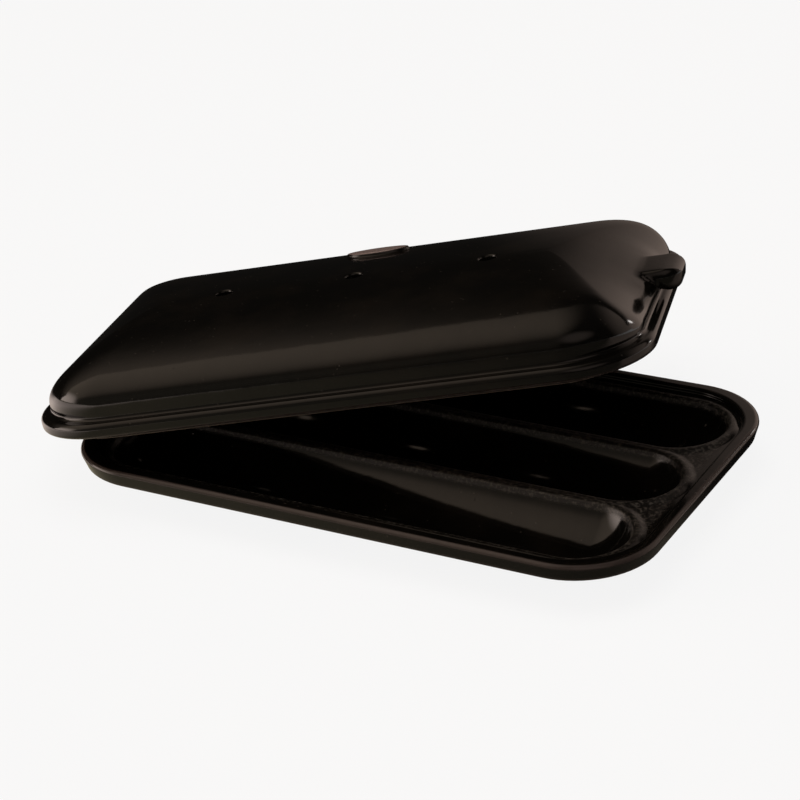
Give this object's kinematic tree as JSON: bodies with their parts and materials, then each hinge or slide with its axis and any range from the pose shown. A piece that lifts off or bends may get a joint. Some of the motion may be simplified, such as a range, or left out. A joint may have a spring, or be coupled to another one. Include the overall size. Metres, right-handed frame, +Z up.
{
  "type": "bread loaf baker",
  "caption": "Covered stoneware baker for long loaves: a shallow rimmed tray with side-by-side troughs and a loose domed lid with steam vents and a finger lug, lying askew.",
  "frame": {"origin": "middle of the flat strip under the middle trough, on the standing plane", "axes": "+X along the troughs, +Y to the back, +Z up"},
  "size_m": [0.4523, 0.3225, 0.1335],
  "materials": {
    "tray_glaze": "gloss",
    "lid_glaze": "gloss"
  },
  "bodies": {
    "tray": {"tray": "tray_glaze"},
    "lid": {"lid": "lid_glaze"}
  },
  "joints": [
    {"name": "lid_lift", "type": "slide", "parent": "tray", "child": "lid", "axis": [0, 0, 1], "range_m": [0, 0.15]}
  ]
}
